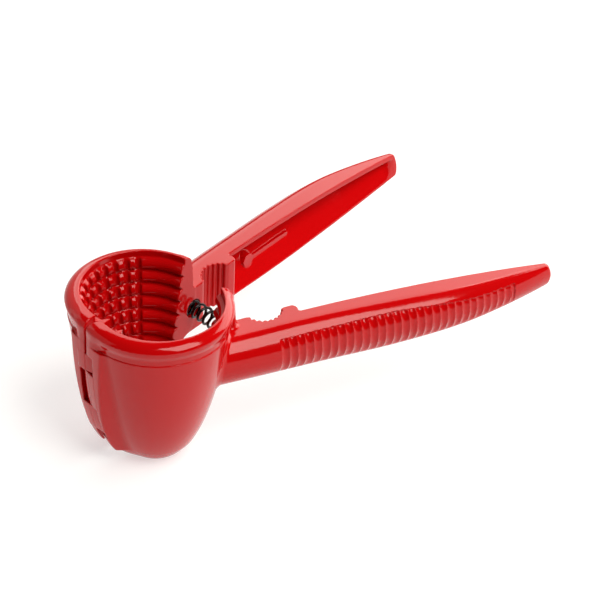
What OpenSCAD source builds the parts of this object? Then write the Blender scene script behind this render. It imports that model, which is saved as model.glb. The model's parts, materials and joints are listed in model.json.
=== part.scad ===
// Hand-held nutcracker: two cast half-cups on a vertical hinge pin, each with an integral handle,
// and a compression spring that pushes the two handles apart.
// Each half is drawn in its closed place with the hinge axis on the Z axis, the foot at Z = 0 and
// its own side at +Y, then swung open about the hinge axis and moved so that the origin is at the
// bottom centre of the whole open nutcracker.

/* [Cup] */
// Height from the foot to the rim
cup_h = 61.5; // [58:0.5:66]
// Outer radius just below the rim
rim_r = 26.8; // [26.4:0.1:28]
// Distance from the hinge axis to the cup axis
hinge_offset = 17.7; // [17.2:0.1:18.2]
// Radius of the mouth
mouth_r = 22.2; // [21.6:0.1:22.6]
// How far the mouth's centre lies towards the handles
mouth_shift = 1.1; // [0.6:0.1:1.4]
// Depth of the smooth band below the rim
lip_h = 3.4; // [2.8:0.1:4]
// Thickness of the cup's floor
floor_t = 4.5; // [3.5:0.5:6]
// Vertical pitch of the gripping ribs
rib_pitch = 5.1; // [4.8:0.1:5.6]
// Number of gripping ribs
rib_count = 8; // [5:1:8]
// Radius of each rib's half-round section
rib_r = 2.2; // [1.8:0.1:2.4]
// Number of vertical grooves that cut the ribs into beads
bead_grooves = 9; // [4:1:9]
// How far the panel on the outside stands proud of its surround
panel_rise = 0.6; // [0.3:0.1:1]
// Gap between each half's face and the closed parting plane, handle side
face_gap = 1.0; // [0.8:0.1:1.5]
// The same gap on the hinge side
hinge_gap = 2.55; // [2.3:0.05:2.9]

/* [Hinge] */
// Half of the angle between the two open halves
open_half_angle = 13; // [8:0.5:13]
// Radius of the hinge pin
pin_r = 1.25; // [1:0.05:1.4]
// Radial clearance of the pin in the front half's knuckle
pin_clearance = 0.05; // [0.02:0.01:0.08]
// Height of the flat hinge pad's top
pad_top = 55; // [53:0.5:56]
// How far a knuckle reaches past the hinge axis
tab_reach = 2.0; // [1.6:0.1:2.4]
// Radius of the knuckles on the inner side
knuckle_r = 5; // [4.5:0.1:5.4]
// Level of the top of the upper knuckle
knuckle_top = 48.6; // [48:0.1:49]
// Level of the joint between the upper and the middle knuckle
knuckle_mid_top = 41; // [40.5:0.1:41.5]
// Level of the joint between the middle and the lower knuckle
knuckle_mid_bottom = 25.6; // [25:0.1:26]
// Level of the bottom of the lower knuckle
knuckle_bottom = 12.5; // [12:0.1:13]
// Vertical running gap between knuckles
knuckle_gap = 0.25; // [0.1:0.05:0.3]

/* [Handle] */
// Distance from the hinge axis to the tip of a handle
handle_end = 169.5; // [160:0.5:172]
// Height of the handle's straight lower edge
handle_bottom = 26.7; // [26:0.1:27.5]
// Height of the handle's top at the cup
handle_top = 46.3; // [45:0.1:47.5]
// How far the top has dropped at the tip
handle_drop = 6.8; // [5:0.1:7.5]
// Distance of the handle's inner edge from the closed parting plane
grip_gap = 5.0; // [4.5:0.1:5.6]
// Where the open channel in the handle starts
channel_start = 71.5; // [71:0.5:75]
// Where the open channel in the handle ends
channel_end = 158; // [150:1:160]
// Thickness of the channel's upper flange
flange_t = 3.6; // [2.5:0.1:4]
// Depth of the channel
channel_depth = 4; // [2.5:0.1:4.5]
// Number of finger flutes on the outer side
flute_count = 31; // [20:1:31]
// Distance between finger flutes
flute_pitch = 3.06; // [2.8:0.02:3.06]
// Depth of a finger flute
flute_depth = 0.6; // [0.3:0.1:0.8]

/* [Small-nut jaws] */
// Radius of the toothed jaw recess in each handle
jaw_r = 7; // [6:0.1:7.2]
// Distance from the hinge axis to the middle of the jaw recess
jaw_x = 58.1; // [57.6:0.1:58.4]
// How far the circle of the jaw recess is centred past the parting plane
jaw_centre_y = 0.9; // [0.6:0.1:1.2]
// Radius of the rounded bump behind the recess
bump_r = 2.4; // [2.2:0.1:2.8]
// Number of vertical teeth in each jaw recess
tooth_count = 8; // [4:1:8]

/* [Spring] */
// Distance from the hinge axis to the spring
spring_x = 46.3; // [46:0.1:46.5]
// Height of the spring's axis
spring_z = 37; // [36:0.5:38]
// Outer radius of the spring
spring_r = 3.3; // [3:0.1:3.4]
// Diameter of the spring wire
wire_d = 1.1; // [0.9:0.1:1.3]
// Depth of the pocket that holds each end of the spring
spring_pocket = 7; // [5:0.5:8]

/* [Hidden] */
cast_red = [0.78, 0.04, 0.05];
spring_black = [0.12, 0.12, 0.13];
pin_steel = [0.62, 0.62, 0.64];

// Outer profile of the cup: end points and control points of one curve, as radius and height
rim_round = 2.6;
foot_r = 9.5;
profile_curve = [[rim_r, cup_h - rim_round], [25.8, 57.7], [21.9, 10.3], [foot_r, 0]];
// Inner profile of the cup below the smooth band
cavity_curve = [[mouth_r - 0.3, cup_h - lip_h], [20.2, 42], [16.5, 9], [5, floor_t]];
// Outer edge of the hinge pad seen from the side, as distance from the axis and height
pad_curve = [[-8, pad_top], [-8, 30], [-5, 9], [6, 0]];
// Outer edge of a handle seen from above
edge_curve = [[38, 16.3], [80, 17.2], [135, 22.5], [handle_end, 7.5]];
curve_steps = 16;

face_big = 400;
rib_sink = 0.9;
bead_first_angle = 47;
bead_step = 11.5;
bead_groove_r = 0.9;
handle_start = 36;
neck_start = 38;
recess_tip_x = 51.6;
bump_x = 67.3;
bump_back_x = 70.4;
tooth_r = 0.6;
tooth_first_angle = 28;
end_round = 3;
boss_disc_r = 2.8;
boss_x = 84.5;
boss_z = 34.4;
boss_bar_len = 24;
boss_bar_h = 1.2;
boss_rise = 0.8;
flute_start = 60.5;
flute_r = 2.2;
flute_top_gap = 2.7;
flute_bottom_gap = 2.2;
panel_top = cup_h - 8.2;
panel_bottom = 5;
panel_right_x = 35.5;
rim_band = 4.6;
side_flat = 4.35;
pad_edge_tilt = 13.9;
pad_edge_y = 12;
pad_edge_slope = 0.45;
pad_back_x = 4;
pocket_gap = 0.35;
pin_top = knuckle_top + 2.8;
pin_bottom = 14.5;
handle_rise = 3.6;
rise_start = 95;
rear_pin_r = pin_r - 0.01;
spring_play = 0.3;

// Bottom centre of the whole open nutcracker, measured from the hinge axis
open_x_min = pad_curve[0][0] * cos(open_half_angle) - pad_edge_y * sin(open_half_angle);
open_x_max = handle_end * cos(open_half_angle) - (grip_gap + 0.8) * sin(open_half_angle);
frame_x = (open_x_min + open_x_max) / 2;

// Point of a cubic curve with four control points
function bezier(p, t) = pow(1 - t, 3) * p[0] + 3 * t * pow(1 - t, 2) * p[1]
                      + 3 * t * t * (1 - t) * p[2] + t * t * t * p[3];
function curve_points(p, n = curve_steps) = [for (i = [0 : n]) bezier(p, i / n)];
// Height of the handle's top face at distance x from the hinge axis
function top_z(x) = handle_top - handle_drop * pow(max(0, (x - 60) / (handle_end - 60)), 1.8);
// Height of the handle's lower edge at x
function bottom_z(x) =
    handle_bottom + handle_rise * pow(max(0, (x - rise_start) / (handle_end - rise_start)), 1.3);
// Outer edge of the handle at distance x from the hinge axis, by the curve's nearest parameter
function edge_t(x, a = 0, b = 1, n = 18) =
    n == 0 ? (a + b) / 2
    : bezier(edge_curve, (a + b) / 2)[0] < x ? edge_t(x, (a + b) / 2, b, n - 1)
    : edge_t(x, a, (a + b) / 2, n - 1);
function edge_y(x) = bezier(edge_curve, edge_t(x))[1];
// Own-side distance plus or minus height on the slope that rounds the handle's outer side
function slope_sum(x, side) =
    edge_y(min(max(x, edge_curve[0][0]), handle_end - 0.5)) + side * (top_z(x) + bottom_z(x)) / 2
    + side_flat * (top_z(x) - bottom_z(x)) / (handle_top - handle_bottom);
// Radius of the cavity wall at height z, by the curve's nearest parameter
function cavity_t(z, a = 0, b = 1, n = 18) =
    n == 0 ? (a + b) / 2
    : bezier(cavity_curve, (a + b) / 2)[1] > z ? cavity_t(z, (a + b) / 2, b, n - 1)
    : cavity_t(z, a, (a + b) / 2, n - 1);
function cavity_radius(z) = bezier(cavity_curve, cavity_t(z))[0];
// How far the pad's outer face lies beyond the hinge axis at height z, by the same search
function pad_t(z, a = 0, b = 1, n = 18) =
    n == 0 ? (a + b) / 2
    : bezier(pad_curve, (a + b) / 2)[1] > z ? pad_t(z, (a + b) / 2, b, n - 1)
    : pad_t(z, a, (a + b) / 2, n - 1);
function pad_reach(z) = -bezier(pad_curve, pad_t(z))[0];
// Width of the room that a knuckle's corner needs in the other half over the whole swing
function room_w(z) =
    tab_reach * cos(2 * open_half_angle) + pad_reach(z) * sin(2 * open_half_angle) + pocket_gap;

// Everything on one side of a plane y = y0
module above_y(y0) {
    translate([-face_big / 2, y0, -face_big / 2])
        cube([face_big, face_big, face_big]);
}

// The cup's outer form, shrunk inwards by inset
module cup_form(inset = 0) {
    translate([hinge_offset, 0, 0])
        rotate_extrude($fn = 96)
            polygon(concat(
                [[0, 0]],
                [for (i = [curve_steps : -1 : 0]) bezier(profile_curve, i / curve_steps) - [inset, 0]],
                [for (a = [22.5 : 22.5 : 90])
                    [rim_r - inset - rim_round * (1 - cos(a)), cup_h - rim_round * (1 - sin(a))]],
                [[0, cup_h]]));
}

// The space inside the cup
module cup_cavity() {
    translate([hinge_offset + mouth_shift, 0, 0])
        rotate_extrude($fn = 96)
            polygon(concat(
                [[0, cup_h + 1], [mouth_r, cup_h + 1]],
                [[mouth_r, cup_h - lip_h]],
                curve_points(cavity_curve),
                [[0, floor_t]]));
}

// Half-round gripping ribs, cut into beads towards the hinge
module ribs() {
    difference() {
        intersection() {
            translate([hinge_offset + mouth_shift, 0, 0])
                for (k = [0 : rib_count - 1])
                    rib(cup_h - lip_h - rib_r - 0.2 - k * rib_pitch);
            translate([0, 0, 1])
                cup_form(2);
        }
        for (k = [0 : bead_grooves - 1])
            bead_groove(bead_first_angle + k * bead_step);
    }
}

module rib(z) {
    translate([0, 0, z])
        rotate_extrude($fn = 96)
            translate([cavity_radius(z) + rib_sink, 0])
                circle(r = rib_r, $fn = 24);
}

// One groove between two columns of beads; it leans with the cup's wall
module bead_groove(angle) {
    wall_low = cavity_radius(12);
    wall_lean = atan((mouth_r - wall_low) / (cup_h - 12));
    translate([hinge_offset + mouth_shift, 0, 12])
        rotate([0, 0, angle])
            translate([wall_low - 1.2, 0, 0])
                rotate([0, wall_lean, 0])
                    cylinder(r = bead_groove_r, h = cup_h - 16, $fn = 24);
}

// The skin of the cup is taken off below the rim's band, except where the raised panel is
module panel_cut() {
    difference() {
        cup_form(-2);
        cup_form(panel_rise);
        translate([-20, -1, cup_h - rim_band])
            cube([80, 60, rim_band + 2]);
        translate([-20, -1, panel_bottom])
            cube([20 + panel_right_x, 60, panel_top - panel_bottom]);
    }
}

// Everything behind the outer face of the hinge pad, from y_low to the half's own side
module pad_profile(y_low, back_low, back_high) {
    translate([0, 60, 0])
        rotate([90, 0, 0])
            linear_extrude(60 - y_low)
                polygon(concat([[back_high, pad_top]], curve_points(pad_curve), [[back_low, 0]]));
}

// Flat pad on the hinge side: its outer face follows one curve, and its edge leans inwards
module pad_block(y_low) {
    x_corner = pad_curve[0][0];
    x_far = 20;
    intersection() {
        pad_profile(y_low, pad_back_x + 6, pad_back_x);
        translate([x_corner, pad_edge_y, pad_top])
            rotate([-pad_edge_tilt, 0, 0])
                translate([0, 0, -90])
                    linear_extrude(120)
                        polygon([[-x_far, -60], [-x_far, -x_far * pad_edge_slope],
                                 [x_far, x_far * pad_edge_slope], [x_far, -60]]);
    }
}

// Round column about the hinge axis, cut off by the pad's outer face
module hinge_column(y_low) {
    intersection() {
        cylinder(r = knuckle_r, h = pad_top, $fn = 48);
        pad_profile(y_low, pad_back_x + 6, pad_back_x + 6);
    }
}

// One knuckle between two levels: flat outside, round inside, its end past the hinge axis
module knuckle(z_low, z_high) {
    intersection() {
        union() {
            intersection() {
                translate([-20, -tab_reach, 0])
                    cube([20, 20, cup_h]);
                pad_block(-20);
            }
            hinge_column(-20);
        }
        translate([-30, -30, z_low])
            cube([60, 60, z_high - z_low]);
    }
}

// Room for the other half's knuckle between two levels
module knuckle_room(z_low, z_high) {
    translate([0, 0, z_low - knuckle_gap])
        cylinder(r = knuckle_r + pocket_gap, h = z_high - z_low + 2 * knuckle_gap, $fn = 48);
    translate([-30, -30, z_low - knuckle_gap])
        cube([30, 30 + room_w(z_high), z_high - z_low + 2 * knuckle_gap]);
}

// Plan of the handle with its neck, jaw block and bump
module handle_plan() {
    difference() {
        union() {
            polygon(concat(
                [[handle_end, grip_gap + 0.8], [bump_back_x, grip_gap], [bump_x, face_gap + bump_r],
                 [bump_x, face_gap], [neck_start, face_gap], [handle_start, face_gap + 4]],
                curve_points(edge_curve)));
            translate([bump_x, face_gap - 0.4 + bump_r])
                circle(r = bump_r, $fn = 32);
        }
        translate([jaw_x, -jaw_centre_y])
            circle(r = jaw_r, $fn = 64);
        translate([recess_tip_x, face_gap - 2])
            square([bump_x - recess_tip_x, 2]);
    }
    for (k = [0 : tooth_count - 1])
        translate([jaw_x, -jaw_centre_y])
            rotate(tooth_first_angle + k * (180 - 2 * tooth_first_angle) / (tooth_count - 1))
                translate([jaw_r + 0.15, 0])
                    circle(r = tooth_r, $fn = 16);
}

// Rounds the handle's outer side: a 45 degree slope above (side 1) or below (side -1)
module handle_slope(side) {
    xs = [handle_start - 10, 55, 75, 95, 115, 130, 142, 153, 162, handle_end + 5];
    rotate([45 * side, 0, 0])
        translate([0, 0, -face_big / 2])
            linear_extrude(face_big)
                polygon(concat([for (x = xs) [x, slope_sum(x, side) / sqrt(2)]],
                               [[handle_end + 5, -face_big / 2], [handle_start - 10, -face_big / 2]]));
}

// Side view of the handle: straight below, falling towards the tip above, round at the end
module handle_side() {
    stations = [handle_start, 60, 80, rise_start, 110, 120, 130, 142, 154, handle_end];
    tip_z = top_z(handle_end);
    tip_low = bottom_z(handle_end);
    difference() {
        polygon(concat([for (x = stations) [x, top_z(x)]],
                       [for (i = [len(stations) - 1 : -1 : 0]) [stations[i], bottom_z(stations[i])]]));
        translate([handle_end - end_round, tip_z - end_round])
            difference() {
                square(end_round + 3);
                circle(r = end_round, $fn = 32);
            }
        translate([handle_end - end_round, tip_low + end_round])
            difference() {
                translate([0, -end_round - 3])
                    square([end_round + 3, end_round + 3]);
                circle(r = end_round, $fn = 32);
            }
    }
}

module flutes() {
    for (k = [0 : flute_count - 1])
        flute(flute_start + k * flute_pitch);
}

module flute(x) {
    z_low = bottom_z(x) + flute_bottom_gap;
    translate([x, edge_y(x) + flute_r - flute_depth, z_low])
        cylinder(r = flute_r, h = top_z(x) - flute_top_gap - z_low, $fn = 32);
}

// The channel that is open towards the other handle
module channel() {
    floor_y = grip_gap + channel_depth;
    intersection() {
        translate([0, 40, 0])
            rotate([90, 0, 0])
                linear_extrude(45)
                    polygon([[channel_start, handle_bottom + 2.2],
                             [channel_start, top_z(channel_start) - flange_t],
                             [110, top_z(110) - flange_t],
                             [channel_end, top_z(channel_end) - flange_t + 0.6],
                             [channel_end + 2, bottom_z(channel_end) + 2.4],
                             [110, bottom_z(110) + 2.2]]);
        linear_extrude(cup_h)
            polygon([[channel_start - 2, 0], [channel_start, floor_y - 1], [channel_start + 1, floor_y],
                     [140, floor_y], [channel_end + 2, grip_gap + 1.6], [channel_end + 2, 0]]);
    }
}

// Raised disc and bar on the channel's back wall
module channel_boss() {
    floor_y = grip_gap + channel_depth;
    translate([boss_x, floor_y + 1, boss_z])
        rotate([90, 0, 0])
            cylinder(r = boss_disc_r, h = 1 + boss_rise, $fn = 32);
    translate([boss_x, floor_y - boss_rise, boss_z + 0.3])
        cube([boss_bar_len, boss_rise + 1, boss_bar_h]);
}

// Blind pocket in the parting face for one end of the spring
module spring_seat() {
    translate([spring_x, face_gap - 1, spring_z])
        rotate([-90, 0, 0])
            cylinder(r = spring_r + spring_play, h = spring_pocket + 1, $fn = 48);
}

module handle_body() {
    difference() {
        intersection() {
            linear_extrude(cup_h)
                handle_plan();
            translate([0, 60, 0])
                rotate([90, 0, 0])
                    linear_extrude(70)
                        handle_side();
            handle_slope(1);
            handle_slope(-1);
        }
        channel();
        flutes();
    }
    channel_boss();
}

// Cup wall, handle and hinge pad of one half, before its knuckles
module half_body() {
    difference() {
        union() {
            difference() {
                intersection() {
                    cup_form();
                    above_y(face_gap);
                }
                panel_cut();
            }
            intersection() {
                pad_block(0);
                above_y(hinge_gap);
            }
            intersection() {
                hinge_column(0);
                above_y(hinge_gap);
            }
            handle_body();
        }
        difference() {
            cup_cavity();
            ribs();
            hinge_column(0);
        }
        hinge_face_cut();
        spring_seat();
    }
}

// On the hinge side the parting face stands further back
module hinge_face_cut() {
    translate([-40, hinge_gap - 20, -1])
        cube([52, 20, cup_h + 2]);
}

// A half with its knuckles at the levels in the list own, and room at those in the list other
module half_with_knuckles(own, other, bore_r) {
    difference() {
        union() {
            difference() {
                half_body();
                for (level = other)
                    knuckle_room(level[0], level[1]);
            }
            for (level = own)
                knuckle(level[0], level[1]);
        }
        translate([0, 0, pin_bottom - 0.5])
            cylinder(r = bore_r, h = pin_top - pin_bottom + 1.5, $fn = 48);
    }
}

// Knuckle levels of each half
upper_level = [knuckle_mid_top, knuckle_top];
middle_level = [knuckle_mid_bottom, knuckle_mid_top];
lower_level = [knuckle_bottom, knuckle_mid_bottom];

module in_frame(swing) {
    translate([-frame_x, 0, 0])
        rotate([0, 0, swing])
            children();
}

module rear_half() {
    color(cast_red)
        in_frame(open_half_angle)
            half_with_knuckles([upper_level, lower_level], [middle_level], pin_r);
}

module front_half() {
    color(cast_red)
        in_frame(-open_half_angle)
            mirror([0, 1, 0])
                half_with_knuckles([middle_level], [upper_level, lower_level], pin_r + pin_clearance);
}

module hinge_pin() {
    color(pin_steel)
        in_frame(0)
            translate([0, 0, pin_bottom])
                cylinder(r = pin_r, h = pin_top - pin_bottom, $fn = 48);
}

// The spring's outer form: a hollow tube bent round the hinge axis from one pocket to the other
module return_spring() {
    seat_depth = face_gap + spring_pocket;
    bend_r = sqrt(pow(spring_x, 2) + pow(face_gap, 2));
    sweep = 2 * (open_half_angle + atan(face_gap / spring_x));
    color(spring_black)
        in_frame(0)
            union() {
                rotate([0, 0, -sweep / 2])
                    rotate_extrude(angle = sweep, $fn = 96)
                        spring_ring(bend_r);
                for (side = [-1, 1])
                    rotate([0, 0, side * sweep / 2])
                        translate([bend_r, 0, spring_z])
                            rotate([-90 * side, 0, 0])
                                difference() {
                                    cylinder(r = spring_r, h = spring_pocket - 0.3, $fn = 48);
                                    cylinder(r = spring_r - wire_d, h = spring_pocket, $fn = 48);
                                }
            }
}

module spring_ring(bend_r) {
    translate([bend_r, spring_z])
        difference() {
            circle(r = spring_r, $fn = 48);
            circle(r = spring_r - wire_d, $fn = 48);
        }
}

rear_half();
front_half();
hinge_pin();
return_spring();
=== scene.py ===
"""Nutcracker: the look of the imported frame.

Each cast half is described once as a signed distance, in millimetres, in its closed place: hinge axis
on Z, foot at Z = 0, its own side at +Y. The description is turned into a mesh, swung open and moved to
the place that the frame gives. The spring and the pin are built as sweeps.
"""

import json
import math

import bpy
import numpy as np
from mathutils import Matrix, Vector


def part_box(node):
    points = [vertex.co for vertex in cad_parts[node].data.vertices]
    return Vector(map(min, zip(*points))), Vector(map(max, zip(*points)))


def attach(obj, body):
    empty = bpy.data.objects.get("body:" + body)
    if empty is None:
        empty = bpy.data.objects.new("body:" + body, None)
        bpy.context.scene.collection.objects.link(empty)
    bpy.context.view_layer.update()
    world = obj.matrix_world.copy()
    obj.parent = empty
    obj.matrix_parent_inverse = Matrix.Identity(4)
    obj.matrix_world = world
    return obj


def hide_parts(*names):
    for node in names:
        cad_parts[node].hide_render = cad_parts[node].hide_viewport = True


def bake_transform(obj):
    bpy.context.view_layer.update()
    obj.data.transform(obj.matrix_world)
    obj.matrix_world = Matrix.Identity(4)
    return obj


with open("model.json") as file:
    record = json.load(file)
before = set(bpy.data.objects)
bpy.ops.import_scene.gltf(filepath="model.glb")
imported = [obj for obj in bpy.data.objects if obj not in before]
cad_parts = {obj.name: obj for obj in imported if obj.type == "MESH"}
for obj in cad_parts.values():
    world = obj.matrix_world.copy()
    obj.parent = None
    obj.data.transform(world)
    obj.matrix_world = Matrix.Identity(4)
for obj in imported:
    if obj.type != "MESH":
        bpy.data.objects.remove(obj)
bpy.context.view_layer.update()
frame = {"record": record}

MM = 0.001
HINGE = frame["record"]["behaviour"]["joints"][0]
HINGE_X = HINGE["pos_m"][0] / MM
OPEN = math.radians(HINGE["range_deg"][1]) / 2
VOXEL = 0.36

# ---------------------------------------------------------------- sizes, in millimetres

# Cup: curves are cubic, as (radius, height)
CUP_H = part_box("rear_half")[1][2] / MM
RIM_R = 26.8
CUP_X = 17.7
MOUTH_R = 22.2
MOUTH_X = CUP_X + 1.1
LIP_H = 6.0
FLOOR_T = 4.5
RIM_ROUND = 3.4
OUTER_CURVE = [(9.6, 0), (21.9, 10.3), (25.8, 57.7), (RIM_R, CUP_H - 2.6)]
INNER_CURVE = [(5, FLOOR_T), (16.5, 9), (20.2, 42), (22.1, CUP_H - LIP_H)]
PANEL_RISE = 0.35
PANEL_TOP = CUP_H - 8.2
PANEL_BOTTOM = 5.0
PANEL_END_X = 35.5
BAND_Z = (55.4, 57.6)

# Ribs round the hollow, cut into beads on the hinge side
RIB_PITCH = 5.1
RIB_COUNT = 10
RIB_R = 2.4
RIB_SINK = 0.5
RIB_TOP = CUP_H - 5.0
BEAD_FIRST = math.radians(47)
BEAD_STEP = math.radians(11.5)
BEAD_COUNT = 9
BEAD_GROOVE_R = 0.95
BEAD_GROOVE_OUT = 1.2

# Hinge side: the block round the pin, the flat strip and the neck (start x, top y, corner)
BOSS_X = 2.0
BOSS_TOP = CUP_H - 6.0
PAD_CURVE = [(5, 0), (-6, 9), (-9.1, 30), (-9.1, 55)]
PAD_BULGE = 0.0177
PAD_EDGE_SLOPE = 0.45
PAD_END_X = 9
NECK = (30, 5.5, 2.5)
FACE_GAP = 1.0
HINGE_GAP = 2.55
HINGE_GAP_X = (11.5, 12.5)

# Hinge: knuckle levels from the bottom up, and how far each half reaches past the axis
KNUCKLE_R = 5.0
KNUCKLE_SLOPE = 0.35
POCKET_GAP = 0.35
LEVELS = [(12.5, 25.6), (25.6, 41.0), (41.0, 48.6)]
REACH = {"rear": 2.0, "front": -0.2}
LEVEL_GAP = 0.12
PIN_R = 1.25
PIN_RUN = 0.05
PIN_Z = (14.5, 51.4)

# Handle: jaw recess, bump, flutes and channel
HANDLE_END = 169.5
GRIP_Y = 5.0
JAW = (58.1, -0.9)
JAW_R = 7.0
BUMP = (67.3, 3.0)
BUMP_R = 2.4
BUMP_FILLET = 1.4
TOOTH_R = 0.75
TOOTH_COUNT = 9
TOOTH_FIRST = math.radians(24)
FLUTE_PITCH = 3.06
FLUTE_FIRST = 57.6
FLUTE_LAST = 151.5
FLUTE_DEPTH = 0.55
FLUTE_END = 0.2
CHANNEL = (70.4, 167.5)
FLANGE_T = 2.2
CHANNEL_DEPTH = 8.5
OUTER_SKIN = 1.8
# Centre x, face y, centre z, then the radius or the half length and half height
DISC = (83.2, 6.5, 35.3, 2.7)
BAR = (95.1, 7.3, 34.9, 11.5, 0.7)
MIN_WALL = 1.2
LEAN = 1.6
LEAN_X = (BUMP[0] + 2.2, BUMP[0] + 4)

# Spring
SPRING_X = 46.3
SPRING_Z = 37.0
SPRING_R = 2.8
WIRE_R = 0.5
SPRING_POCKET = 7.0
SPRING_SEAT = SPRING_POCKET - 0.3
SEAT_GAP = 0.3
CLOSED_TURNS = 1.1
SPRING_TURNS = 14.0


# ---------------------------------------------------------------- signed distances

def smooth_min(a, b, k):
    h = np.clip(0.5 + 0.5 * (b - a) / k, 0, 1)
    return b + (a - b) * h - k * h * (1 - h)


def smooth_max(a, b, k):
    return -smooth_min(-a, -b, k)


def round_max(a, b, r):
    """What is inside both, with the edge between them rounded to radius r."""
    return np.minimum(-r, np.maximum(a, b)) + np.hypot(np.maximum(a + r, 0), np.maximum(b + r, 0))


def round_min(a, b, r):
    """What is inside either, with a fillet of radius r between them."""
    return -round_max(-a, -b, r)


def step(x, a, b):
    t = np.clip((x - a) / (b - a), 0, 1)
    return t * t * (3 - 2 * t)


def curve_table(points, key):
    """A cubic curve as a table of the coordinate key, the other coordinate and its slope."""
    p = np.array(points, float)
    t = np.linspace(0, 1, 1500)[:, None]
    c = (1 - t) ** 3 * p[0] + 3 * t * (1 - t) ** 2 * p[1] + 3 * t * t * (1 - t) * p[2] + t ** 3 * p[3]
    k, v = c[:, key], c[:, 1 - key]
    return k, v, np.gradient(v, k)


def smooth_table(points):
    """A smooth line through a few points, as a table of x, y and slope."""
    p = np.array(points, float)
    x = np.linspace(p[0, 0], p[-1, 0], 1500)
    slope = np.gradient(p[:, 1], p[:, 0])
    i = np.clip(np.searchsorted(p[:, 0], x) - 1, 0, len(p) - 2)
    h = p[i + 1, 0] - p[i, 0]
    t = (x - p[i, 0]) / h
    y = ((1 + 2 * t) * (1 - t) ** 2 * p[i, 1] + t * (1 - t) ** 2 * h * slope[i]
         + t * t * (3 - 2 * t) * p[i + 1, 1] + t * t * (t - 1) * h * slope[i + 1])
    return x, y, np.gradient(y, x)


def look(table, at):
    return np.interp(at, table[0], table[1]), np.interp(at, table[0], table[2])


OUTER = curve_table(OUTER_CURVE, 1)
INNER = curve_table(INNER_CURVE, 1)
PAD = curve_table(PAD_CURVE, 1)
PAD_WIDTH = smooth_table([(0, 3.4), (5, 4.5), (10, 5.1), (20, 6.4), (30, 7.6), (40, 8.6), (53, 9.5),
                          (60, 9.9)])
TOP = smooth_table([(30, 45.6), (48, 46.1), (67, 46.4), (97, 45.7), (115, 44.8), (134, 43.4),
                    (155, 41.3), (172, 39.1)])
BOTTOM = smooth_table([(30, 27.2), (50, 27.2), (70, 27.0), (90, 26.8), (100, 26.8), (122, 27.6),
                       (146, 28.9), (162, 30.0), (172, 30.8)])
END_X = smooth_table([(0, 24.0), (24, 38.0), (30, 44.5), (36, 45.7), (52, 45.7), (56, 45.3),
                      (59, 44.2), (62, 43.2)])
OUT = smooth_table([(30, 15.6), (52, 16.9), (78, 17.3), (105, 17.9), (120, 17.6), (133, 16.3),
                    (145, 14.3), (155, 12.1), (163, 9.9), (171, 7.3)])
FLAT = smooth_table([(30, 8.0), (50, 8.4), (78, 9.0), (105, 9.8), (120, 9.9), (133, 9.2),
                     (145, 7.6), (155, 6.2), (171, 4.6)])
SPREAD = smooth_table([(30, 1.0), (90, 1.0), (115, 1.03), (135, 1.12), (171, 1.2)])
FLUTE_TOP = smooth_table([(55, 43.6), (78, 43.6), (105, 43.2), (120, 41.8), (133, 40.4), (155, 39.3)])
INNER_EDGE = smooth_table([(60, GRIP_Y - 0.1), (90, GRIP_Y), (130, GRIP_Y + 0.2), (172, GRIP_Y + 0.3)])


def cup_wall(x, y, z, inset=0.0):
    radius, slope = look(OUTER, z)
    return (np.hypot(x - CUP_X, y) - radius + inset) / np.sqrt(1 + slope * slope)


def cup_form(x, y, z, inset, corner):
    """The cup, the flat strip on its hinge side and the neck at the handle.

    inset moves the round wall and the strip's side in.
    """
    wall = cup_wall(x, y, z, inset)
    face_x, slope = look(PAD, z)
    width, _ = look(PAD_WIDTH, z)
    face = (face_x + PAD_BULGE * y * y - x) / np.sqrt(1 + slope * slope)
    side = (y - width + inset - PAD_EDGE_SLOPE * (x - face_x)) / math.hypot(1, PAD_EDGE_SLOPE)
    strip = round_max(face, side, corner)
    strip = np.maximum(strip, x - PAD_END_X)
    end_x, _ = look(END_X, z)
    neck = round_max(x - end_x, y - NECK[1], NECK[2])
    neck = np.maximum(neck, NECK[0] - x)
    form = smooth_min(wall, strip, 1.0)
    return smooth_min(form, neck, 2.0)


def cup_outside(x, y, z):
    """The cup's outer form: a bulging rim, a raised panel and a set-back band round it."""
    low = PANEL_RISE * (1 - step(z, *BAND_Z))
    body = cup_form(x, y, z, low, 4.5)
    region = np.maximum(np.maximum(z - PANEL_TOP, PANEL_BOTTOM - z), x - PANEL_END_X)
    panel = round_max(cup_form(x, y, z, 0.0, 0.5), region, 0.35)
    body = smooth_min(body, panel, 0.25)
    body = round_max(body, z - CUP_H, RIM_ROUND)
    return round_max(body, -z, 0.8)


def column(x, y, radius):
    return np.hypot(x, y) - radius


def cup_inside(x, y, z):
    """The hollow of the cup, less its ribs and beads and the block round the hinge."""
    r = np.hypot(x - MOUTH_X, y)
    radius, slope = look(INNER, z)
    radius = radius + (MOUTH_R - radius) * step(z, CUP_H - LIP_H - 0.8, CUP_H - LIP_H + 0.2)
    hollow = (r - radius) / np.sqrt(1 + slope * slope)
    hollow = smooth_max(hollow, FLOOR_T - z, 1.5)
    k = np.clip(np.round((RIB_TOP - z) / RIB_PITCH), 0, RIB_COUNT - 1)
    rib_z = RIB_TOP - k * RIB_PITCH
    rib_radius, _ = look(INNER, rib_z)
    rib = np.hypot(r - rib_radius - RIB_SINK, z - rib_z) - RIB_R
    angle = np.arctan2(y, x - MOUTH_X)
    g = np.clip(np.round((angle - BEAD_FIRST) / BEAD_STEP), 0, BEAD_COUNT - 1)
    off = angle - BEAD_FIRST - g * BEAD_STEP
    groove = np.hypot(r * np.sin(off), r * np.cos(off) - radius + BEAD_GROOVE_OUT) - BEAD_GROOVE_R
    rib = smooth_max(rib, -groove, 0.7)
    hollow = smooth_max(hollow, -rib, 0.5)
    boss = np.maximum(x - BOSS_X, z - BOSS_TOP)
    boss = np.minimum(boss, np.maximum(column(x, y, KNUCKLE_R), z - BOSS_TOP))
    return smooth_max(hollow, -boss, 0.6)


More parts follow.
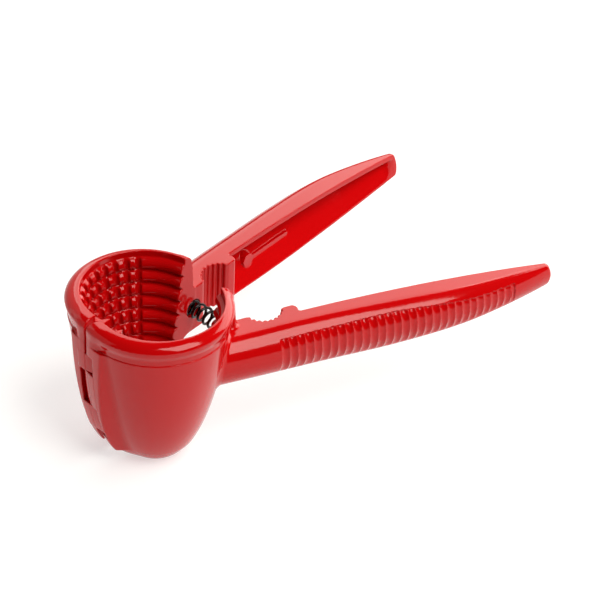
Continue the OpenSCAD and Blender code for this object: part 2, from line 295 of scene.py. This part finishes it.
def handle(x, y, z):
    """The handle with a half-elliptic outer side, flutes, jaw recess, bump and channel."""
    top, _ = look(TOP, x)
    bottom, _ = look(BOTTOM, x)
    out, out_slope = look(OUT, x)
    flat, _ = look(FLAT, x)
    spread, _ = look(SPREAD, x)
    mid = (top + bottom) / 2
    half = (top - bottom) / 2
    a, b = out - flat, half * spread
    u, w = np.maximum(y - flat, 0) / a, (z - mid) / b
    q = np.sqrt(u * u + w * w) + 1e-6
    side = (q - 1) * q / (np.sqrt((u / a) ** 2 + (w / b) ** 2) + 1e-6)
    side = side / np.sqrt(1 + (out_slope * u) ** 2)
    run = (x - FLUTE_FIRST) / FLUTE_PITCH
    scallop = 1 - (2 * (run - np.floor(run)) - 1) ** 2
    flute_top, _ = look(FLUTE_TOP, x)
    window = step(flute_top + 0.1 - z, 0, 0.45) * step(z, bottom + 1.4, bottom + 5.5)
    window = window * step(x, FLUTE_FIRST - FLUTE_END, FLUTE_FIRST + FLUTE_END)
    window = window * (1 - step(x, FLUTE_LAST - FLUTE_END, FLUTE_LAST + FLUTE_END))
    window = window * step(u, 0.02, 0.3)
    side = side + FLUTE_DEPTH * scallop * window
    body = round_max(side, z - top, 0.5)
    body = round_max(body, bottom - z, 1.2)
    body = handle_end(body, x, z, mid)
    edge, _ = look(INNER_EDGE, x)
    edge = edge - LEAN * np.clip((top - z) / (top - bottom), 0, 1) * step(x, *LEAN_X)
    body = inner_face(body, x, y, edge)
    return channel(body, side, x, y, z, top, bottom, out, edge)


def handle_end(body, x, z, mid):
    """Rounds the tip as seen from the side."""
    tip = x - HANDLE_END + 0.055 * (z - mid + 0.4) ** 2
    return round_max(body, tip / 1.15, 1.0)


def inner_face(body, x, y, edge):
    """The side towards the other handle: web, jaw recess, bump and straight edge."""
    web = np.maximum(x - BUMP[0], FACE_GAP - y)
    straight = edge - y
    bump = np.hypot(x - BUMP[0], y - BUMP[1]) - BUMP_R
    plan = round_min(smooth_min(straight, web, 0.2), bump, BUMP_FILLET)
    jaw = JAW_R - np.hypot(x - JAW[0], y - JAW[1])
    plan = smooth_max(plan, jaw, 0.5)
    angle = np.arctan2(y - JAW[1], x - JAW[0])
    pitch = (math.pi - 2 * TOOTH_FIRST) / (TOOTH_COUNT - 1)
    k = np.clip(np.round((angle - TOOTH_FIRST) / pitch), 0, TOOTH_COUNT - 1)
    at = TOOTH_FIRST + k * pitch
    ring = JAW_R + 0.1
    tooth = np.hypot(x - JAW[0] - ring * np.cos(at), y - JAW[1] - ring * np.sin(at))
    plan = smooth_min(plan, tooth - TOOTH_R, 0.35)
    return round_max(body, plan, 0.45)


def channel(body, side, x, y, z, top, bottom, out, edge):
    """The channel that is open towards the other handle, with its sloping wall, disc and bar."""
    t = np.clip((z - bottom - 1.0) / (top - FLANGE_T - bottom - 1.0), 0, 1)
    ends = np.maximum(CHANNEL[0] - x, (x - CHANNEL[1]) * 0.6)
    depth = np.minimum(CHANNEL_DEPTH, out - GRIP_Y - OUTER_SKIN) * t
    depth = depth * step(CHANNEL[1] - x, 0, 5)
    void = (y - edge - depth) * 0.9
    void = smooth_max(void, z - top + FLANGE_T, 0.5)
    void = smooth_max(void, side + MIN_WALL, 0.4)
    void = smooth_max(void, ends, 0.8)
    void = smooth_max(void, bottom + 0.8 - z, 0.8)
    disc = np.maximum(np.hypot(x - DISC[0], z - DISC[2]) - DISC[3], DISC[1] - y)
    bar = np.maximum(np.abs(z - BAR[2]) - BAR[4], np.abs(x - BAR[0]) - BAR[3])
    bar = np.maximum(bar, BAR[1] - y)
    void = smooth_max(void, -np.minimum(disc, bar), 0.4)
    return smooth_max(body, -void, 0.5)


def face_cut(x, y):
    gap = FACE_GAP + (HINGE_GAP - FACE_GAP) * (1 - step(x, *HINGE_GAP_X))
    return gap - y


def knuckle(x, y, z, low, high, reach):
    """One knuckle: flat outside, round inside, its end past the hinge axis."""
    face_x, slope = look(PAD, z)
    face = (face_x + PAD_BULGE * y * y - x) / np.sqrt(1 + slope * slope)
    tip = (-reach - y - KNUCKLE_SLOPE * np.minimum(x + 9, 9)) / math.hypot(1, KNUCKLE_SLOPE)
    block = np.maximum(np.maximum(face, x), tip)
    block = np.maximum(block, y - 6)
    drum = np.maximum(column(x, y, KNUCKLE_R), -x)
    shape = np.maximum(np.minimum(block, drum), face)
    return round_max(shape, np.abs(z - (low + high) / 2) - (high - low) / 2 + LEVEL_GAP, 0.3)


def knuckle_room(x, y, z, low, high, reach):
    """Room for the other half's knuckle over the whole swing."""
    face_x, _ = look(PAD, np.clip(z, low, high))
    width = reach * math.cos(2 * OPEN) - face_x * math.sin(2 * OPEN) + POCKET_GAP
    width = np.maximum(width, KNUCKLE_R + POCKET_GAP)
    box = np.maximum(x, y - width)
    room = np.minimum(box, column(x, y, KNUCKLE_R + POCKET_GAP))
    return np.maximum(room, np.abs(z - (low + high) / 2) - (high - low) / 2)


def half_distance(own, other, reach, other_reach, bore_r):
    """Signed distance of one half, with its own knuckles and room for the other's."""

    def distance(p):
        x, y, z = p[:, 0], p[:, 1], p[:, 2]
        body = cup_outside(x, y, z)
        grip = np.maximum(handle(x, y, z), MOUTH_X + 8 - x)
        body = round_min(body, grip, 1.6)
        body = smooth_max(body, -cup_inside(x, y, z), 0.5)
        body = round_max(body, face_cut(x, y), 0.3)
        for low, high in other:
            body = smooth_max(body, -knuckle_room(x, y, z, low, high, other_reach), 0.25)
        for low, high in own:
            body = smooth_min(body, knuckle(x, y, z, low, high, reach), 0.3)
        bore = np.maximum(np.maximum(column(x, y, bore_r), z - PIN_Z[1] - 1), PIN_Z[0] - 0.5 - z)
        body = smooth_max(body, -bore, 0.15)
        seat = np.hypot(x - SPRING_X, z - SPRING_Z) - SPRING_R - WIRE_R - SEAT_GAP
        seat = np.maximum(seat, y - FACE_GAP - SPRING_POCKET)
        return smooth_max(body, -seat, 0.4)

    return distance


# ---------------------------------------------------------------- from distance to mesh

def band_samples(distance, low, cells, h):
    """Distance on a grid, worked out in full only near the surface."""
    block = 8
    n = [int(math.ceil(c / block)) for c in cells]
    centre = np.stack(np.meshgrid(*[np.arange(k) for k in n], indexing="ij"), -1).reshape(-1, 3)
    coarse = distance(low + (centre + 0.5) * block * h)
    near = np.abs(coarse) < block * h * 1.15
    shape = tuple(k * block + 1 for k in n)
    field = np.repeat(np.repeat(np.repeat(coarse.reshape(n), block, 0), block, 1), block, 2)
    field = np.pad(field, ((0, 1),) * 3, mode="edge").astype(np.float32)
    offset = np.stack(np.meshgrid(*[np.arange(block + 1)] * 3, indexing="ij"), -1).reshape(-1, 3)
    for part in np.array_split(centre[near], max(1, int(near.sum() / 1500))):
        index = (part[:, None, :] * block + offset[None]).reshape(-1, 3)
        value = distance(low + index * h)
        field[index[:, 0], index[:, 1], index[:, 2]] = value
    return field


def surface_net(field, low, h):
    """One vertex in each cell that the surface crosses, and one quad across each crossed edge."""
    inside = field < 0
    count = np.zeros(tuple(s - 1 for s in field.shape), np.uint8)
    corners = [(i, j, k) for i in (0, 1) for j in (0, 1) for k in (0, 1)]
    nx, ny, nz = count.shape
    for i, j, k in corners:
        count += inside[i:i + nx, j:j + ny, k:k + nz]
    cell = np.argwhere((count > 0) & (count < 8))
    ident = np.full(count.shape, -1, np.int32)
    ident[cell[:, 0], cell[:, 1], cell[:, 2]] = np.arange(len(cell))
    total = np.zeros((len(cell), 3))
    hits = np.zeros(len(cell))
    for axis in range(3):
        unit = np.eye(3, dtype=int)[axis]
        for corner in corners:
            if corner[axis]:
                continue
            a = cell + corner
            b = a + unit
            fa = field[a[:, 0], a[:, 1], a[:, 2]].astype(float)
            fb = field[b[:, 0], b[:, 1], b[:, 2]].astype(float)
            cross = (fa < 0) != (fb < 0)
            t = np.where(cross, fa / np.where(cross, fa - fb, 1), 0)
            total += (np.array(corner) + t[:, None] * unit) * cross[:, None]
            hits += cross
    points = low + (cell + total / hits[:, None]) * h
    quads = []
    for axis in range(3):
        u, v = np.eye(3, dtype=int)[(axis + 1) % 3], np.eye(3, dtype=int)[(axis + 2) % 3]
        size = [s - (1 if d == axis else 0) for d, s in enumerate(inside.shape)]
        first = inside[:size[0], :size[1], :size[2]]
        shift = [slice(1, None) if d == axis else slice(None) for d in range(3)]
        edge = np.argwhere(first != inside[tuple(shift)])
        ok = (edge[:, (axis + 1) % 3] > 0) & (edge[:, (axis + 2) % 3] > 0)
        edge = edge[ok]
        ring = [edge - u - v, edge - v, edge, edge - u]
        quad = np.stack([ident[c[:, 0], c[:, 1], c[:, 2]] for c in ring], 1)
        solid = inside[edge[:, 0], edge[:, 1], edge[:, 2]]
        quad[~solid] = quad[~solid][:, ::-1]
        quads.append(quad)
    return points, np.vstack(quads)


def gradient(distance, points, e=0.02):
    g = np.empty_like(points)
    for axis in range(3):
        d = np.zeros(3)
        d[axis] = e
        g[:, axis] = (distance(points + d) - distance(points - d)) / (2 * e)
    return g


def settle(distance, points, h, rounds=3):
    """Moves the vertices onto the surface."""
    for _ in range(rounds):
        f = distance(points)
        g = gradient(distance, points)
        move = -f[:, None] * g / np.maximum((g * g).sum(1), 0.2)[:, None]
        length = np.linalg.norm(move, axis=1)
        move *= np.minimum(1, 0.35 * h / np.maximum(length, 1e-9))[:, None]
        points = points + move
    return points


def solid_mesh(distance, low, high, h):
    low, high = np.array(low, float), np.array(high, float)
    cells = np.ceil((high - low) / h)
    field = band_samples(distance, low, cells, h)
    points, quads = surface_net(field, low, h)
    points = settle(distance, points, h)
    normals = gradient(distance, points, 0.05)
    normals /= np.linalg.norm(normals, axis=1)[:, None]
    return points, quads, normals


def mesh_object(name, points, faces, normals=None):
    mesh = bpy.data.meshes.new(name)
    faces = np.asarray(faces, np.int32)
    mesh.vertices.add(len(points))
    mesh.vertices.foreach_set("co", (np.asarray(points) * MM).astype(np.float32).ravel())
    mesh.loops.add(faces.size)
    mesh.loops.foreach_set("vertex_index", faces.ravel())
    mesh.polygons.add(len(faces))
    mesh.polygons.foreach_set("loop_start", np.arange(len(faces), dtype=np.int32) * faces.shape[1])
    mesh.update(calc_edges=True)
    mesh.shade_smooth()
    if normals is not None:
        mesh.normals_split_custom_set_from_vertices(normals.astype(np.float32))
    mesh.validate()
    obj = bpy.data.objects.new(name, mesh)
    bpy.context.scene.collection.objects.link(obj)
    return obj


def to_row(points, swing, mirrored):
    """From the closed own-side place to the open place in the row frame."""
    c, s = math.cos(swing), math.sin(swing)
    y = -points[:, 1] if mirrored else points[:, 1]
    x = points[:, 0]
    return np.stack([x * c - y * s, x * s + y * c, points[:, 2]], 1)


def cast_half(name, own, other, reach, other_reach, bore_r, mirrored):
    distance = half_distance(own, other, reach, other_reach, bore_r)
    points, quads, normals = solid_mesh(distance, (-11, -5.5, -1.5), (172, 29, CUP_H + 1.5), VOXEL)
    swing = -OPEN if mirrored else OPEN
    points = to_row(points, swing, mirrored) + (HINGE_X, 0, 0)
    normals = to_row(normals, swing, mirrored)
    if mirrored:
        quads = quads[:, ::-1]
    return mesh_object(name, points, quads, normals)


# ---------------------------------------------------------------- spring and pin

def tube(centres, across, along_normal, radius, sides):
    """A round tube along centres with round caps closed to a point."""
    angle = np.arange(sides) * 2 * math.pi / sides
    ring = (np.cos(angle)[None, :, None] * across[:, None]
            + np.sin(angle)[None, :, None] * along_normal[:, None]) * radius[:, None, None]
    points = (centres[:, None] + ring).reshape(-1, 3)
    n = len(centres)
    i = np.arange(n - 1)[:, None] * sides
    j = np.arange(sides)[None]
    k = (j + 1) % sides
    quads = np.stack([i + j, i + k, i + sides + k, i + sides + j], -1).reshape(-1, 4)
    start, end = len(points), len(points) + 1
    points = np.vstack([points, centres[:1], centres[-1:]])
    j = j.ravel()
    k = k.ravel()
    cap_a = np.stack([np.full(sides, start), k, j], 1)
    cap_b = np.stack([np.full(sides, end), (n - 1) * sides + j, (n - 1) * sides + k], 1)
    tris = np.vstack([cap_a, cap_b])
    return points, quads, tris


def mixed_object(name, points, quads, tris):
    mesh = bpy.data.meshes.new(name)
    mesh.from_pydata((points * MM).tolist(), [], quads.tolist() + tris.tolist())
    mesh.shade_smooth()
    obj = bpy.data.objects.new(name, mesh)
    bpy.context.scene.collection.objects.link(obj)
    return obj


def coil_spring(name):
    """A coil whose centre line is an arc about the hinge axis, straight in each pocket."""
    face_angle = OPEN + math.atan2(FACE_GAP, SPRING_X)
    radius = math.hypot(SPRING_X, FACE_GAP)
    arc = 2 * face_angle * radius
    length = arc + 2 * SPRING_SEAT
    turns = SPRING_TURNS
    per_turn = 48
    n = int(turns * per_turn) + 1
    t = np.linspace(0, 1, n)
    phase = t * turns * 2 * math.pi
    ends = CLOSED_TURNS
    run = t * turns
    closed = ends * 2 * WIRE_R * 1.02
    free = (length - 2 * WIRE_R - 2 * closed) / (turns - 2 * ends)
    s = np.where(run < ends, run / ends * closed,
                 np.where(run > turns - ends, length - 2 * WIRE_R - (turns - run) / ends * closed,
                          closed + (run - ends) * free)) + WIRE_R
    inside = SPRING_SEAT
    centres = np.empty((n, 3))
    tangent = np.empty((n, 3))
    outward = np.empty((n, 3))
    for i, d in enumerate(s):
        along = np.clip(d - inside, 0, arc)
        a = -face_angle + along / radius
        extra = d - inside - along
        out = np.array([math.cos(a), math.sin(a), 0])
        tan = np.array([-math.sin(a), math.cos(a), 0])
        centres[i] = out * radius + tan * extra
        tangent[i], outward[i] = tan, out
    up = np.array([0, 0, 1.0])
    radial = np.cos(phase)[:, None] * outward + np.sin(phase)[:, None] * up
    points = centres + radial * SPRING_R
    points[:, 2] += SPRING_Z
    wire = np.gradient(points, axis=0)
    wire /= np.linalg.norm(wire, axis=1)[:, None]
    side = np.cross(wire, radial)
    side /= np.linalg.norm(side, axis=1)[:, None]
    taper = np.full(n, WIRE_R)
    tube_points, quads, tris = tube(points, radial, side, taper, 20)
    tube_points[:, 0] += HINGE_X
    return mixed_object(name, tube_points, quads, tris)


def turned(name, profile, sides, x, y):
    """A closed turned piece about a vertical axis, from (radius, height) pairs on the axis at both ends."""
    angle = np.arange(sides) * 2 * math.pi / sides
    rings = profile[1:-1]
    points = [(r * math.cos(a) + x, r * math.sin(a) + y, z) for r, z in rings for a in angle]
    quads = []
    for i in range(len(rings) - 1):
        for j in range(sides):
            k = (j + 1) % sides
            quads.append([i * sides + j, i * sides + k, (i + 1) * sides + k, (i + 1) * sides + j])
    low, high = len(points), len(points) + 1
    points += [(x, y, profile[0][1]), (x, y, profile[-1][1])]
    top = (len(rings) - 1) * sides
    tris = [[low, (j + 1) % sides, j] for j in range(sides)]
    tris += [[high, top + j, top + (j + 1) % sides] for j in range(sides)]
    return mixed_object(name, np.array(points), np.array(quads), np.array(tris))


# ---------------------------------------------------------------- materials

def new_material(name):
    mat = bpy.data.materials.new(name)
    mat.use_nodes = True
    return mat, mat.node_tree.nodes, mat.node_tree.links


def noise(nodes, links, coord, scale, detail=2.0, rough=0.5):
    n = nodes.new("ShaderNodeTexNoise")
    n.inputs["Scale"].default_value = scale
    n.inputs["Detail"].default_value = detail
    n.inputs["Roughness"].default_value = rough
    links.new(coord.outputs["Object"], n.inputs["Vector"])
    return n


def ramp(nodes, links, source, low, high, a, b):
    """Maps source from low..high to the colours or numbers a..b."""
    m = nodes.new("ShaderNodeMapRange")
    m.inputs["From Min"].default_value = low
    m.inputs["From Max"].default_value = high
    m.inputs["To Min"].default_value = a
    m.inputs["To Max"].default_value = b
    links.new(source, m.inputs["Value"])
    return m


def red_paint():
    mat, nodes, links = new_material("red_paint")
    shader = nodes["Principled BSDF"]
    coord = nodes.new("ShaderNodeTexCoord")
    cloud = noise(nodes, links, coord, 45, 3)
    mix = nodes.new("ShaderNodeMix")
    mix.data_type = "RGBA"
    mix.inputs["A"].default_value = (0.455, 0.0008, 0.0014, 1)
    mix.inputs["B"].default_value = (0.495, 0.0014, 0.0022, 1)
    links.new(cloud.outputs["Fac"], mix.inputs["Factor"])
    links.new(mix.outputs["Result"], shader.inputs["Base Color"])
    fine = noise(nodes, links, coord, 900, 2)
    rough = ramp(nodes, links, fine.outputs["Fac"], 0.3, 0.7, 0.08, 0.12)
    links.new(rough.outputs["Result"], shader.inputs["Roughness"])
    shader.inputs["IOR"].default_value = 1.5
    shader.inputs["Specular IOR Level"].default_value = 0.31
    peel = noise(nodes, links, coord, 420, 2)
    bump = nodes.new("ShaderNodeBump")
    bump.inputs["Strength"].default_value = 0.12
    bump.inputs["Distance"].default_value = 0.0002
    links.new(peel.outputs["Fac"], bump.inputs["Height"])
    links.new(bump.outputs["Normal"], shader.inputs["Normal"])
    return mat


def steel(name, dark, light, rough_low, rough_high):
    mat, nodes, links = new_material(name)
    shader = nodes["Principled BSDF"]
    coord = nodes.new("ShaderNodeTexCoord")
    grain = noise(nodes, links, coord, 700, 3)
    mix = nodes.new("ShaderNodeMix")
    mix.data_type = "RGBA"
    mix.inputs["A"].default_value = (*dark, 1)
    mix.inputs["B"].default_value = (*light, 1)
    links.new(grain.outputs["Fac"], mix.inputs["Factor"])
    links.new(mix.outputs["Result"], shader.inputs["Base Color"])
    shader.inputs["Metallic"].default_value = 1.0
    rough = ramp(nodes, links, grain.outputs["Fac"], 0.3, 0.7, rough_low, rough_high)
    links.new(rough.outputs["Result"], shader.inputs["Roughness"])
    bump = nodes.new("ShaderNodeBump")
    bump.inputs["Strength"].default_value = 0.15
    bump.inputs["Distance"].default_value = 0.0001
    links.new(grain.outputs["Fac"], bump.inputs["Height"])
    links.new(bump.outputs["Normal"], shader.inputs["Normal"])
    return mat


# ---------------------------------------------------------------- pieces

paint = red_paint()
rear = cast_half("rear_casting", [LEVELS[2], LEVELS[0]], [LEVELS[1]], REACH["rear"], REACH["front"], PIN_R,
                 False)
front = cast_half("front_casting", [LEVELS[1]], [LEVELS[2], LEVELS[0]], REACH["front"], REACH["rear"],
                  PIN_R + PIN_RUN, True)
for obj, body, node in ((rear, "rear_body", "rear_half"), (front, "front_body", "front_half")):
    obj.data.materials.append(paint)
    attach(obj, body)
    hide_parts(node)

PIN_CHAMFER = 0.25
PIN_SKIN = PIN_R - 0.01
PIN_PROFILE = [(0, PIN_Z[0]), (PIN_R - PIN_CHAMFER, PIN_Z[0]), (PIN_SKIN, PIN_Z[0] + PIN_CHAMFER),
               (PIN_SKIN, PIN_Z[1] - PIN_CHAMFER), (PIN_R - PIN_CHAMFER, PIN_Z[1]), (0, PIN_Z[1])]
pin = turned("pin", PIN_PROFILE, 48, HINGE_X, 0)
pin.data.materials.append(steel("pin_steel", (0.32, 0.32, 0.33), (0.5, 0.5, 0.51), 0.28, 0.42))
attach(pin, "rear_body")
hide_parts("hinge_pin")

spring = coil_spring("coil")
SPRING_DARK = (0.014, 0.011, 0.011)
SPRING_LIGHT = (0.045, 0.038, 0.038)
spring.data.materials.append(steel("spring_steel", SPRING_DARK, SPRING_LIGHT, 0.18, 0.30))


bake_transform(spring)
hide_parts("return_spring")

# ---------------------------------------------------------------- floor, light and camera


FLOOR_SIZE = 30.0
FLOOR_GREY = 0.5
FLOOR_GLOW = 0.55
FLOOR_DROP = 0.0002
LIGHT_COLOUR = (1.0, 0.985, 0.93)


def floor_plane():
    """A pale floor with a slight glow, so that the shadow on it stays pale."""
    size = FLOOR_SIZE
    mesh = bpy.data.meshes.new("floor")
    mesh.from_pydata([(-size, -size, 0), (size, -size, 0), (size, size, 0), (-size, size, 0)], [],
                     [(0, 1, 2, 3)])
    obj = bpy.data.objects.new("floor", mesh)
    bpy.context.scene.collection.objects.link(obj)
    mat, nodes, links = new_material("floor_paper")
    shader = nodes["Principled BSDF"]
    shader.inputs["Base Color"].default_value = (FLOOR_GREY, FLOOR_GREY, FLOOR_GREY, 1)
    shader.inputs["Emission Color"].default_value = (1, 1, 1, 1)
    shader.inputs["Emission Strength"].default_value = FLOOR_GLOW
    shader.inputs["Roughness"].default_value = 0.9
    shader.inputs["Specular IOR Level"].default_value = 0.1
    coord = nodes.new("ShaderNodeTexCoord")
    grain = noise(nodes, links, coord, 60, 2)
    bump = nodes.new("ShaderNodeBump")
    bump.inputs["Strength"].default_value = 0.02
    bump.inputs["Distance"].default_value = 0.0005
    links.new(grain.outputs["Fac"], bump.inputs["Height"])
    links.new(bump.outputs["Normal"], shader.inputs["Normal"])
    mesh.materials.append(mat)
    obj.location.z = -FLOOR_DROP
    return obj


floor_plane()

AZIMUTH = math.radians(39.88)
ELEVATION = math.radians(36.64)
ROLL = math.radians(2.59)
DISTANCE = 0.9667
AIM = (-0.05067, 0.00161)
LENS = 171.06

scene = bpy.context.scene
right = Vector((math.cos(AZIMUTH), -math.sin(AZIMUTH), 0))
ahead = Vector((math.sin(AZIMUTH), math.cos(AZIMUTH), 0))
upward = Vector((0, 0, 1))
forward = math.cos(ELEVATION) * ahead - math.sin(ELEVATION) * upward
lift = math.sin(ELEVATION) * ahead + math.cos(ELEVATION) * upward
cam_x = math.cos(ROLL) * right + math.sin(ROLL) * lift
cam_y = -math.sin(ROLL) * right + math.cos(ROLL) * lift
rim_centre = Vector((HINGE_X + CUP_X, 0, CUP_H)) * MM
camera_data = bpy.data.cameras.new("camera")
camera_data.lens = LENS
camera_data.clip_start = 0.01
camera = bpy.data.objects.new("camera", camera_data)
place = rim_centre - DISTANCE * forward - AIM[0] * cam_x - AIM[1] * cam_y
camera.matrix_world = Matrix((
    (cam_x.x, cam_y.x, -forward.x, place.x),
    (cam_x.y, cam_y.y, -forward.y, place.y),
    (cam_x.z, cam_y.z, -forward.z, place.z),
    (0, 0, 0, 1)))
scene.collection.objects.link(camera)
scene.camera = camera


def softbox(name, turn, elevation, distance, width, height, radiance):
    """An area light, turn degrees to the right of the camera, at that elevation, facing the object."""
    light = bpy.data.lights.new(name, "AREA")
    light.shape = "RECTANGLE"
    light.size, light.size_y = width, height
    light.energy = radiance * math.pi * width * height
    light.color = LIGHT_COLOUR
    obj = bpy.data.objects.new(name, light)
    t, e = math.radians(turn), math.radians(elevation)
    level = math.sin(t) * right - math.cos(t) * ahead
    centre = Vector((0, 0, 0.03))
    obj.location = centre + distance * (math.cos(e) * level + math.sin(e) * upward)
    obj.rotation_euler = (centre - obj.location).to_track_quat("-Z", "Y").to_euler()
    scene.collection.objects.link(obj)


softbox("key", 51, 55, 1.6, 0.95, 1.3, 7.4)
softbox("back_right", 134, 24, 1.8, 1.7, 1.3, 4.6)
softbox("back", 182, 34, 2.0, 1.2, 1.2, 3.1)
softbox("back_left", -135, 22, 2.0, 2.2, 1.6, 0.75)
softbox("left", -88, 18, 1.8, 1.8, 1.5, 0.6)

world = bpy.data.worlds.new("studio")
scene.world = world
world.use_nodes = True
world.node_tree.nodes["Background"].inputs["Color"].default_value = (1, 1, 1, 1)
world.node_tree.nodes["Background"].inputs["Strength"].default_value = 0.03
scene.view_settings.view_transform = "Standard"
scene.view_settings.look = "None"
